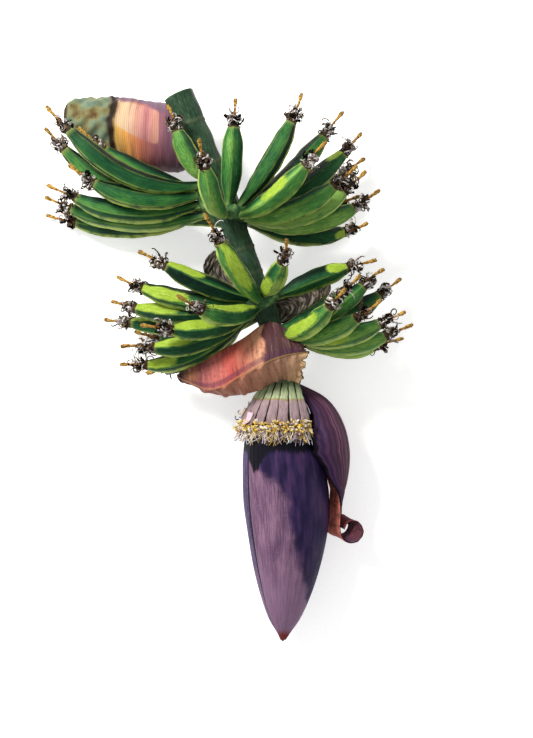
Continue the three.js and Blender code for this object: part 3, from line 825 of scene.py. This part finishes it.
def make_finger(name, node, curve, sun, tone, rng):
    """A finger with five rounded ridges. Its ridges are lighter and its sides carry painted highlights, each facet is
    painted lighter or darker by how it faces the light as well as in a tone of its own, and one facet may carry a
    patch of painted sunlight."""
    spacing = TURN / FINGER_RIDGES
    turn = circle(FINGER_SIDES)
    share = np.concatenate([np.linspace(0, BLUNT_SHARES[0], FINGER_STEPS), BLUNT_SHARES[1:]])
    to_facet = (turn % spacing) - spacing / 2
    facet = math.cos(spacing / 2) / np.cos(to_facet)
    section = 0.62 * facet + 0.38 * 0.985
    reach = FINGER_RADIUS * FINGER_PROFILE(share) * np.interp(share, BLUNT_SHARES, BLUNT_WIDTHS)
    swell = 1 + 0.018 * np.sin(share * rng.uniform(9, 14) + rng.uniform(0, TURN))
    radius = (reach * swell)[:, None] * section[None, :]
    first = unit(UP + 0.6 * rng.normal(size=3))
    rings = rings_round(curve, share, turn, radius, first)
    spokes = unit(rings - curve.at(share)[:, None])
    rings = rings + 0.25 * ripple(rings, 14, int(rng.integers(1e6)))[..., None] * spokes
    # Lighter ridges; the bands along the sides and the lower edge are painted highlights, dimmed on the upper side,
    # which is in painted shade.
    ridge = ((facet - facet.min()) / (facet.max() - facet.min())) ** 3
    sideways = 1 - np.abs(spokes[..., 2])
    far = smooth_step(0.1, 0.8, spokes[..., 1])
    near = smooth_step(0.2, 0.9, -spokes[..., 1])
    edge = np.maximum(ridge * (0.35 + 0.6 * sideways), smooth_step(0.58, 0.8, sideways)) * (1 - 0.6 * far)
    edge = np.maximum(edge, 0.8 * smooth_step(0.6, 1.0, -spokes[..., 1]))
    middle = len(share) // 2
    # Facets facing the light are painted lighter and those turned away darker, on top of a random tone of their own.
    facing = (spokes[middle] @ unit(LIGHT_FROM + UP)).reshape(FINGER_RIDGES, -1).mean(1)
    facet_shade_and_tone = 0.3 * facing - 0.08 + rng.normal(0, 0.1, FINGER_RIDGES)
    tones = tone + np.repeat(facet_shade_and_tone, FINGER_SIDES // FINGER_RIDGES)[None, :]
    # Painted shade on the upper side and just inside each side, and a little painted light on the lower side.
    tones = tones - 0.4 * far + 0.08 * near - 0.22 * smooth_step(0.12, 0.5, sideways) * (1 - near)
    # A patch of painted sunlight on the facet that faces the light most.
    lit = np.zeros(rings.shape[:2])
    if sun is not None:
        best = int(np.argmax(facing))
        half = FINGER_RIDGES / 2
        across = np.abs((turn / spacing - best - 0.5 + half) % FINGER_RIDGES - half) / 0.54
        along = np.abs(share - (sun[0] + sun[1]) / 2) / ((sun[1] - sun[0]) / 2)
        lit = np.clip(1 - across[None, :] ** 4 - along[:, None] ** 2, 0, 1)
    shape = Shape()
    shape.add_tube(
        rings, grain_length=4, grain_start=rng.uniform(0, 40), along=share[:, None], edge=edge,
        tone=np.clip(tones, 0, 1), sun=lit,
    )
    shape.build(name, [FINGER_SKIN], node)


def thread(shape, start, ahead, length, radius, winds, rng, **values):
    """A thin strand that winds through part of a turn or more."""
    axis = unit(np.cross(ahead, rng.normal(size=3)))
    share = np.linspace(0, 1, THREAD_STEPS)
    angle = TURN * winds * share**1.3
    steps = np.cos(angle)[:, None] * ahead + np.sin(angle)[:, None] * np.cross(axis, ahead) + 0.25 * axis
    curve = Curve(np.vstack([start, start + np.cumsum(steps, 0) * length / THREAD_STEPS]))
    reach = radius * mix(1, THREAD_TAPER, share)[:, None]
    shape.add_tube(rings_round(curve, share, circle(THREAD_SIDES), reach, axis), **values)


def curled_leaf(shape, start, ahead, side, length, width, curl, rng, ragged=0.35, **values):
    """A small ragged leaf that leaves along ahead and curls towards side through curl degrees."""
    u, v = grid(TEPAL_ROWS, TEPAL_COLUMNS)
    swing = np.radians(curl) * u[:, 0] ** 1.3
    steps = np.cos(swing)[:, None] * ahead + np.sin(swing)[:, None] * side
    spine = start + np.cumsum(steps, 0) * length / TEPAL_ROWS
    across = np.cross(ahead, side)
    spread = width / 2 * (1 - 0.75 * u**1.5) * (1 + ragged * rng.normal(size=u.shape) * (u > 0.15))
    middle = spine[:, None] + across * (v * spread)[..., None]
    middle = middle + ragged * rng.normal(size=middle.shape) * (u > 0.1)[..., None]
    cupped = -(v**2) * width * 0.12
    middle = middle + cupped[..., None] * np.cross(steps, across)[:, None]
    shape.add_sheet(*sheet_faces(middle, TEPAL_THICKNESS), **values)


def make_withered_flower(name, node, curve, rng):
    """The dried flower at a finger's tip: a dark collar, shrivelled tepals, threads and the style."""
    tip, ahead = curve.at(1.0), curve.tangent(np.array([1.0]))[0]
    side = unit(np.cross(ahead, rng.normal(size=3)))
    shape = Shape()
    share = np.linspace(0, 1, 7)
    collar = Curve([tip - ahead * 1.2, tip + ahead * 4])
    rings = rings_round(collar, share, circle(16), COLLAR_PROFILE(share)[:, None], side)
    rings += 0.8 * rng.normal(size=rings.shape) * smooth_step(0.1, 0.6, share)[:, None, None]
    shape.add_tube(rings, tone=0.35)

    bend = unit(np.cross(ahead, side) + side * rng.normal())
    reach = rng.uniform(0.8, 1.0) * STYLE_LENGTH
    end = tip + ahead * reach + bend * rng.uniform(1, 5)
    lift = UP * max(0, STYLE_CLEARANCE - end[2])
    middle = tip + ahead * reach / 2 + bend * rng.uniform(-3, 3) + lift / 2
    style = bezier(tip - ahead * 3, middle, end + lift)
    share = np.linspace(0, 1, 22)
    rings = rings_round(style, share, circle(9), STYLE_PROFILE(share)[:, None], side)
    rings += 0.25 * rng.normal(size=rings.shape)
    shape.add_tube(rings, 1, along=share[:, None])

    def outwards():
        angle = rng.uniform(0, TURN)
        return math.cos(angle) * side + math.sin(angle) * np.cross(ahead, side)

    for _ in range(TEPALS):
        out = outwards()
        start = tip + out * rng.uniform(1.5, 4) + ahead * rng.uniform(-1, 11)
        leaving = unit(ahead * rng.uniform(-0.2, 1.0) + out)
        rolling = unit(ahead + 0.7 * rng.normal(size=3))
        curled_leaf(
            shape, start, leaving, rolling, rng.uniform(8, 15), rng.uniform(2.2, 4.8),
            rng.uniform(110, 380), rng, tone=float(rng.choice(WITHERED_TONES)),
        )
    for _ in range(THREADS):
        out = outwards()
        start = tip + out * 2 + ahead * rng.uniform(0, 14)
        thread(
            shape, start, unit(ahead * rng.uniform(0, 1) + out), rng.uniform(8, 19), rng.uniform(0.5, 0.95),
            rng.uniform(0.4, 1.6), rng, tone=float(rng.choice(WITHERED_TONES)),
        )
    shape.build(name, [WITHERED_SKIN, STYLE_SKIN], node)


def make_hand(name, seed, crown, fingers):
    node = f"hand_{name}"
    rng = np.random.default_rng(seed)
    for i, finger in enumerate(fingers):
        row = -1 if i % 2 else 1
        curve = finger_curve(crown, row, finger["turn"], finger["tip"], finger["bow"], finger.get("rise", 0))
        make_finger(f"{name}_finger_{i + 1}", node, curve, finger.get("sun"), finger["tone"], rng)
        make_withered_flower(f"{name}_withered_flower_{i + 1}", node, curve, rng)
    turns = np.linspace(*crown[0], 9)
    ridge = smooth_curve([on_stalk(t, crown_share(crown, t), CROWN_REACH) for t in turns], 8)
    share = np.linspace(0, 1, CROWN_STEPS)
    rounded = np.sqrt(np.clip(1 - np.abs(2 * share - 1) ** 10, 0.02, 1))
    rings = rings_round(ridge, share, circle(CROWN_SIDES), (CROWN_RADIUS * 0.97 * rounded)[:, None])
    rings = roughened(rings, ridge, share, 0.55, 11, seed)
    shape = Shape()
    shape.add_tube(rings, grain_length=6)
    shape.build(f"{name}_crown", [CROWN_SKIN], node)


# Bud

BUD_AXIS = smooth_curve([(52, -27, 50), (49, -82, 43.4), (53, -142, 39.6), (54, -190, 38.4), (50, -287, 34)])
BUD_RADIUS = profile([13, 26.5, 35, 39.5, 42, 42.8, 40.9, 37.2, 32, 25, 15.5, 1.8])  # fuller low down than the solids
BUD_CORE_SIDES = 60
BUD_CORE_STEPS = 80
BRACT_GRID = (110, 80)  # rows and columns
FRONT_GRID = (150, 120)
SHADE_SHARES = (0.2, 0.28, 0.34, 0.44, 0.67, 0.83, 0.95)  # places along the bud
SHADE_TURNS = (-110, -62, -27, 1, 16, 56, 140)  # the turn from which its front is in shade there
CAST_DEPTH = 0.257
CAST_TONGUE = 0.08  # how much further the near black reaches down at one turn
CAST_TONGUE_TURN = -42


def on_bud(turn, share, lift):
    reach = BUD_RADIUS(share) + lift
    return BUD_AXIS.at(share) + outward(turn) * np.asarray(reach)[..., None]


def bud_bract(
    name, node, material, turns, shares, lift, thickness, seed, shadow=None, black=None, size=BRACT_GRID,
):
    """A closed bract of the bud, with fine lengthwise ridges and a thin margin.
    shadow and black give its painted shade and painted near-black shadow for each turn and share."""
    u, v = grid(*size)
    share = mix(shares[0], shares[1], u)
    narrow = 1 - 0.1 * u**6
    turn = mix(turns[0], turns[1], (1 + v * narrow) / 2)
    fine = 0.16 * np.sin(np.radians(turn) * 46 + 1.5 * np.sin(share * 7)) * (1 - u**3)
    broad = 0.5 * ripple(on_bud(turn, share, 0), 60, seed)
    edge = smooth_step(0.94, 0.97, np.abs(v)) * (u < 0.93)
    thin = thickness * (1 - 0.7 * np.maximum(edge, smooth_step(0.985, 1.0, u)))
    middle = on_bud(turn, share, lift + fine + broad * 0.4)
    angle = np.radians(turn)
    grain = np.stack([np.sin(angle) + seed, np.cos(angle), share * 6], -1)
    # Painted shade goes in tone, and the painted near-black shadow in sun.
    tone = shadow(turn, share) if shadow else 0.0
    sun = black(turn, share) if black else 0.0
    shape = Shape()
    shape.add_sheet(*sheet_faces(middle, thin), grain=grain, along=share, edge=edge, tone=tone, sun=sun)
    shape.build(name, [material], node)


def front_shadow(turn, share):
    """The painter's shade: across the top, then down the right side to a point."""
    limit = np.interp(share, SHADE_SHARES, SHADE_TURNS)
    return smooth_step(-20, 20, turn - limit)


def cast_shadow(turn, share):
    """The near black under the flowers, which reaches further down on the left."""
    depth = CAST_DEPTH + CAST_TONGUE * np.exp(-(((turn - CAST_TONGUE_TURN) / 13) ** 2))
    return smooth_step(0.035, -0.035, share - depth)


def make_bud():
    turn = np.linspace(0, 360, BUD_CORE_SIDES, endpoint=False)
    share = np.linspace(0, 1, BUD_CORE_STEPS)
    inset = np.where(share < 0.985, 2.3, 0.6)[:, None]
    turn_grid, share_grid = np.meshgrid(turn, share)
    core = on_bud(turn_grid, share_grid, -inset)
    shape = Shape()
    shape.add_tube(core, grain_length=6, along=share[:, None])
    shape.build("bud_core", [BUD_BACK], "bud")
    bud_bract(
        "bud_back_bract", "bud", BUD_BACK, turns=(100, 262), shares=(0.07, 0.985), lift=-1.1,
        thickness=1.3, seed=4,
    )
    bud_bract(
        "bud_left_bract", "bud", BUD_BACK, turns=(-150, -42), shares=(0.08, 0.99), lift=-0.5,
        thickness=1.2, seed=8, black=cast_shadow,
    )
    bud_bract(
        "bud_front_bract", "bud_bract", BUD_FRONT, turns=(-60, 128), shares=(1.6 / 14, 0.995), lift=0.5,
        thickness=1.6, seed=6, shadow=front_shadow, black=cast_shadow, size=FRONT_GRID,
    )


# Raised bract

RAISED_GRID = (200, 70)
RAISED_ROWS = [  # a place on the midline, the half width and curl radius there, and the lean in degrees
    ((66, -27, 48), 12, 9, 0),
    ((91, -40, 48), 29, 14.5, 0),
    ((103, -53, 46), 42, 21.5, 0),
    ((112, -72, 44.5), 52, 28.5, 0),
    ((116, -92, 43.5), 52, 28.5, 0),
    ((116, -108, 43), 42, 23.5, 0),
    ((113, -127, 42), 26, 16, 5),
    ((109, -140, 41), 18, 20, 16),
    ((105, -153, 40), 13, 30, 28),
]
# The bract's tip goes on from there in a scroll, from its first to its last radius and half width.
SCROLL_CENTRE = (113.5, -171, 38)
SCROLL_RADII = (13, 7.2)
SCROLL_START = 175
SCROLL_TURNS = 1.0
SCROLL_STEPS = 9
SCROLL_HALVES = (11.5, 9)
SCROLL_BEND = 60
SCROLL_LEAN = 50
SCROLL_TILT = 0.45


def leaf_grid(midline, across, half, bend, u, v):
    """The middle layer of a leaf along a midline: half wide each way along across, curled to bend."""
    inward = unit(np.cross(midline.tangent(u, even=False), across))
    angle = v * half / bend
    return (
        midline.at(u, even=False)
        + across * (np.sin(angle) * bend)[..., None]
        + inward * ((1 - np.cos(angle)) * bend)[..., None]
    )


def make_raised_bract():
    rows = list(RAISED_ROWS)
    x, y, z = SCROLL_CENTRE
    for i in range(SCROLL_STEPS + 1):
        share = i / SCROLL_STEPS
        angle = math.radians(SCROLL_START + 360 * SCROLL_TURNS * share)
        reach = mix(*SCROLL_RADII, share)
        place = (x + math.cos(angle) * reach, y + math.sin(angle) * reach, z)
        rows.append((place, mix(*SCROLL_HALVES, share), SCROLL_BEND, SCROLL_LEAN))
    midline = smooth_curve([row[0] for row in rows])
    u, v = grid(*RAISED_GRID)
    half, bend, lean = (profile([row[k] for row in rows])(u) for k in (1, 2, 3))
    slope = np.sin(np.radians(lean))
    across = unit(np.stack([slope, -SCROLL_TILT * slope, np.cos(np.radians(lean))], -1))
    ragged = 1 + 0.02 * np.sin(u * 61) + 0.015 * np.sin(u * 143 + 1)
    middle = leaf_grid(midline, across, half * ragged, bend, u, v)
    flat = smooth_step(0.5, 0.35, u)
    ribs = 0.6 * np.sin(v * 21 + 2 * u) + 0.25 * np.sin(v * 57 + 5 * u)
    relief = flat * ribs * smooth_step(1, 0.85, np.abs(v))
    edge = np.maximum(smooth_step(0.93, 0.99, np.abs(v)), smooth_step(0.985, 1, u))
    faces = sheet_faces(middle, bract_thickness(edge), -relief)
    # A painted shadow line down the left edge, next to the bud, carried in edge.
    painted_shadow_line = smooth_step(0.8, 0.95, v) * smooth_step(0.08, 0.2, u) * smooth_step(0.62, 0.5, u)
    edge = np.maximum(edge, painted_shadow_line)
    # Painted shade low on the left, near the flowers.
    shadow = smooth_step(0.3, 0.9, v) * smooth_step(0.55, 0.3, u)
    grain = np.stack([v * 1.5, u * 8, 0 * u], -1)
    shape = Shape()
    shape.add_sheet(*faces, slots=(0, 1, 1), grain=grain, along=u, edge=edge, tone=shadow)
    shape.build("raised_bract_leaf", [RAISED_INNER, RAISED_OUTER], "raised_bract")


# Reflexed bract

REFLEXED_GRID = (160, 90)
KEEL = smooth_curve([(75, 7, 94), (44, 0, 102), (13, -15, 96), (-20, -31, 78), (-56, -19, 54)])
CREST = smooth_curve([(62, 22, 84), (38, 36, 81.5), (8, 18, 78), (-26, 0, 66), (-57, -17, 52)])
FOOT = smooth_curve([(68, -25, 76), (48, -22, 70), (20, -34, 68), (-14, -37, 62), (-55, -21, 50)])


def make_reflexed_bract():
    u, v = grid(*REFLEXED_GRID)
    crumple = smooth_step(0.12, 0.0, u)
    swing = np.clip(u + 0.02 * crumple * np.sin(v * 17) + 0.012 * crumple * np.sin(v * 41 + 1), 0, 1)
    keel, crest, foot = (line.at(swing, even=False) for line in (KEEL, CREST, FOOT))
    side = np.where((v < 0)[..., None], foot, crest)
    away = np.abs(v)[..., None]
    middle = keel * (1 - away) + side * away
    fullness = 5 * np.sin(np.pi * np.abs(v)) * (1 - u**4)
    middle = middle + UP * fullness[..., None]
    upper = smooth_step(0.0, 0.1, v)
    lower = smooth_step(0.0, -0.1, v)
    ribs = 0.3 * np.sin(u * 75 + 3 * v) * upper + 0.25 * np.sin(u * 133 + v) * upper
    wrinkles = (1.1 * np.sin(u * 46 + 2.5 * v) + 0.6 * np.sin(u * 91 - 4 * v)) * lower
    torn = 1.2 * crumple * np.sin(v * 23 + 2)
    edge = np.maximum(smooth_step(0.95, 1.0, np.abs(v)), smooth_step(0.035, 0.0, u))
    faces = sheet_faces(middle, bract_thickness(edge), ribs * (1 - edge) + wrinkles * (1 - edge) + torn)
    shape = Shape()
    shape.add_sheet(*faces, along=u, edge=edge, tone=(v + 1) / 2)
    shape.build("reflexed_bract_leaf", [RED_FACE], "reflexed_bract")


# Oldest bract

TOP_GRID = (120, 100)


def make_top_bract():
    midline = smooth_curve([(-36, 218, 50), (-58, 224, 51), (-95, 229, 50), (-130, 238, 44), (-172, 245, 36)])
    u, v = grid(*TOP_GRID)
    rounded = np.sqrt(1 - 0.97 * np.clip((u - 0.7) / 0.3, 0, 1) ** 2)
    half = profile([26, 62, 66, 62, 52, 46])(u) * rounded * (1 + 0.02 * np.sin(u * 57))
    bend = profile([18, 32, 34, 32, 26, 20])(u)
    across = np.broadcast_to([0.0, 1.0, 0.0], u.shape + (3,))
    middle = leaf_grid(midline, across, half, bend, u, v)
    edge = np.maximum(smooth_step(0.96, 1.0, np.abs(v)), smooth_step(0.96, 1.0, u))
    relief = 0.25 * np.sin(u * 88 + 4 * v) + 0.5 * ripple(middle, 40, 12)
    relief = relief + 1.3 * smooth_step(0.68, 0.74, u) * ripple(middle, 12, 13)
    tilted = v - 0.2 + 0.6 * (0.53 - u)
    # The patch of painted sunlight, carried in sun.
    patch = np.clip(1 - (np.abs(u - 0.53) / 0.17) ** 8 - (np.abs(tilted) / 0.31) ** 8, 0, 1)
    rim = (1 - v) / 2 - 0.1 * smooth_step(0.55, 0.3, u)
    faces = sheet_faces(middle, bract_thickness(edge), relief * (1 - edge))
    shape = Shape()
    shape.add_sheet(*faces, along=u, edge=edge, tone=rim, sun=patch)
    shape.build("top_bract_leaf", [PINK_FACE], "top_bract")


# Dried bracts

DRIED_GRID = (70, 50)
DRIED_THICKNESS = 1.3


def make_dried_bract(name, knots, half, bend, across, seed):
    midline = smooth_curve(knots)
    u, v = grid(*DRIED_GRID)
    rounded = np.sqrt(1 - 0.985 * np.clip((u - 0.5) / 0.5, 0, 1) ** 2)
    half = profile(half)(u) * rounded * (1 + 0.04 * np.sin(u * 23 + seed) * np.abs(v))
    middle = leaf_grid(midline, np.broadcast_to(across, u.shape + (3,)), half, profile(bend)(u), u, v)
    crumple = 0.7 * ripple(middle, 16, seed) + 0.4 * np.sin(u * 55 + 3 * v)
    edge = np.maximum(smooth_step(0.88, 1.0, np.abs(v)), smooth_step(0.92, 1.0, u))
    shape = Shape()
    grain = np.stack([v, u + 0.3 * v**2, 0 * u + seed], -1)
    shape.add_sheet(*sheet_faces(middle, DRIED_THICKNESS, crumple), grain=grain, along=u, edge=edge)
    shape.build(f"{name}_leaf", [DRIED_SKIN], name)


# Male flowers

MALE_FLOWERS = 8
MALE_FLOWER_RADIUS = 5.4
MALE_FLOWER_LIFT = 7.2
MALE_FLOWER_STEPS = 40
MALE_FLOWER_SIDES = 40
ROW_TURNS = (-85, 34)
FLOWERS_RISE = np.array([0, 7, 0])  # how far their roots go up under the reflexed bract
FRAYED_LOBES = 44
FRAYED_STRANDS = 60
LOBE_TONES = (0.3, 0.45, 0.5, 0.55, 0.62, 0.62, 0.8, 1.0)
STRAND_TONES = (0.0, 0.0, 0.3, 0.5, 0.8, 0.85, 1.0, 1.0)
LOOSE_TEPALS = (  # turn, share, length, width, curl and tone
    (-52, 0.1, 18, 9, 75, 0.8), (-78, 0.085, 14, 6, 120, 0.7), (-88, 0.06, 18, 5, 50, 0.25),
    (-92, 0.1, 12, 3, 260, 0.0), (-84, 0.12, 12, 3.5, 220, 0.0),
)


def make_male_flowers():
    rng = np.random.default_rng(41)
    roots = []
    for i in range(MALE_FLOWERS):
        turn = mix(*ROW_TURNS, i / (MALE_FLOWERS - 1))
        root = on_bud(turn, 0.012, 3.4) + FLOWERS_RISE
        middle = on_bud(turn, 0.08, MALE_FLOWER_LIFT + 0.6)
        end = on_bud(turn + rng.uniform(-1.5, 1.5), 0.155, MALE_FLOWER_LIFT)
        roots.append(root)
        curve = bezier(root, middle, end)
        share = np.linspace(0, 1, MALE_FLOWER_STEPS)
        around = circle(MALE_FLOWER_SIDES)
        reach = MALE_FLOWER_RADIUS * mix(0.6, 1.08, share) * (1 - 0.25 * smooth_step(0.92, 1.0, share))
        flat = 1 + 0.22 * np.cos(2 * around + math.pi)  # wider than thick
        groove = 1 - 0.05 * np.abs(np.sin(2.5 * around + 0.6 * i)) ** 6
        rings = rings_round(curve, share, around, reach[:, None] * (flat * groove)[None, :], outward(turn))
        rings = roughened(rings, curve, share, 0.25, 9, 60 + i)
        # Painted shade down each flower's sides, where it meets its neighbours.
        begin = mix(0.72, 0.81, smooth_step(0.1, 0.6, share))[:, None]
        painted_shade_sides = smooth_step(0, 0.14, np.abs(np.sin(around))[None, :] - begin)
        shape = Shape()
        shape.add_tube(rings, grain_length=3, grain_start=5.0 * i, along=share[:, None], edge=painted_shade_sides)
        shape.build(f"male_flower_{i + 1}", [FLOWER_SKIN], "male_flowers")
        make_anthers(f"anthers_{i + 1}", turn, end, curve.tangent(np.array([1.0]))[0], rng)
    cushion = smooth_curve(roots)
    rings = rings_round(cushion, np.linspace(0, 1, 60), circle(20), MALE_FLOWER_RADIUS * 0.62)
    shape = Shape()
    shape.add_tube(rings, along=0.05)
    shape.build("flower_cushion", [FLOWER_SKIN], "male_flowers")
    for i, (turn, share, length, width, curl, tone) in enumerate(LOOSE_TEPALS):
        start = on_bud(turn, share, MALE_FLOWER_LIFT + 5.8)
        shape = Shape()
        ahead = BUD_AXIS.tangent(0.1)
        curled_leaf(shape, start, ahead, outward(turn), length, width, curl, rng, ragged=0.08, tone=tone)
        shape.build(f"loose_tepal_{i + 1}", [ANTHER_SKIN], "male_flowers")


def make_anthers(name, turn, end, ahead, rng):
    """The frayed tips of one male flower: curled yellow lobes and pale strands, close on the bud."""
    side = unit(np.cross(ahead, outward(turn)))
    up = np.cross(side, ahead)
    shape = Shape()
    for _ in range(FRAYED_LOBES):
        across, high = rng.uniform(-6, 6), rng.uniform(-1.5, 4.0)
        start = end - ahead * rng.uniform(-6, 5) + side * across + up * high
        curled_leaf(
            shape, start, unit(ahead + 0.8 * rng.normal(size=3)), unit(up + side * rng.normal() * 0.8),
            rng.uniform(3, 6.5), rng.uniform(2.4, 4.6), rng.uniform(40, 200), rng,
            tone=float(rng.choice(LOBE_TONES)),
        )
    for _ in range(FRAYED_STRANDS):
        across, high = rng.uniform(-6.4, 6.4), rng.uniform(-4.5, 1.5)
        start = end + ahead * 2 + side * across + up * high
        drop = unit(ahead - up * 0.14 + side * (0.012 * across + 0.16 * rng.normal()))
        thread(
            shape, start, drop, rng.uniform(6, 19), rng.uniform(0.22, 0.45), rng.uniform(-0.22, 0.22), rng,
            tone=float(rng.choice(STRAND_TONES)),
        )
    shape.build(name, [ANTHER_SKIN], "male_flowers")


make_stalk()
for hand_name, hand in HANDS.items():
    make_hand(hand_name, hand["seed"], hand["crown"], hand["fingers"])
make_bud()
make_raised_bract()
make_reflexed_bract()
make_top_bract()
make_dried_bract(
    "dried_bract_right", knots=[(35, 41, 55.5), (58, 52, 45), (84, 68, 40), (98, 74, 44)],
    half=[9, 18, 17, 11], bend=[16, 20, 24, 24], across=(-0.45, 0.89, 0), seed=5,
)
make_dried_bract(
    "dried_bract_left", knots=[(20, 74, 58), (0, 84, 53), (-18, 94, 50), (-29, 96, 54)],
    half=[8, 13, 16, 17], bend=[18, 20, 22, 22], across=(0.3, 0.95, 0), seed=9,
)
make_male_flowers()


# Floor, light and camera

FLOOR_HALF = 3.0
FLOOR_DROP = 0.0004  # keeps the floor just below the blossom's flats
floor_mesh = bpy.data.meshes.new("floor")
corners = [(x * FLOOR_HALF, y * FLOOR_HALF, 0) for x, y in ((-1, -1), (1, -1), (1, 1), (-1, 1))]
floor_mesh.from_pydata(corners, [], [(0, 1, 2, 3)])
floor_mesh.materials.append(paper_floor())
floor = bpy.data.objects.new("floor", floor_mesh)
floor.location.z = -FLOOR_DROP
bpy.context.scene.collection.objects.link(floor)

SKY_COLOUR = (0.97, 0.98, 1.0, 1)
SKY_STRENGTH = 0.6
world = bpy.data.worlds.new("studio")
bpy.context.scene.world = world
world.use_nodes = True
background = world.node_tree.nodes["Background"]
background.inputs["Color"].default_value = SKY_COLOUR
background.inputs["Strength"].default_value = SKY_STRENGTH


def soft_light(name, direction, distance, size, power, colour):
    """An area light that looks at the blossom from a direction."""
    lamp = bpy.data.lights.new(name, "AREA")
    lamp.shape = "DISK"
    lamp.size = size
    lamp.energy = power
    lamp.color = colour
    holder = bpy.data.objects.new(name, lamp)
    bpy.context.scene.collection.objects.link(holder)
    place = unit(np.array(direction, float)) * distance
    holder.location = place
    aim = unit(-place)
    yaw, pitch = math.atan2(aim[0], aim[1]), math.acos(-aim[2])
    holder.rotation_euler = (pitch, 0, -yaw)


soft_light("key", LIGHT_FROM, distance=2.4, size=0.7, power=72, colour=(1.0, 0.98, 0.94))
bpy.context.scene.view_settings.view_transform = "Standard"

FIELD_HEIGHT = 0.738  # metres of the plane at FIELD_LEVEL that the picture's height takes in
FIELD_LEVEL = 0.07
CAMERA_HEIGHT = 2.4
PHOTO_CENTRE = np.array([33.5, -11.0, 0.0])  # the picture's middle in the blossom's own frame
SENSOR = 36.0
camera_data = bpy.data.cameras.new("camera")
camera_data.sensor_width = SENSOR
camera_data.lens = SENSOR * CAMERA_HEIGHT / FIELD_HEIGHT
camera = bpy.data.objects.new("camera", camera_data)
bpy.context.scene.collection.objects.link(camera)
camera.location = (*((PHOTO_CENTRE + CENTRE_SHIFT) * MM)[:2], FIELD_LEVEL + CAMERA_HEIGHT)
bpy.context.scene.camera = camera
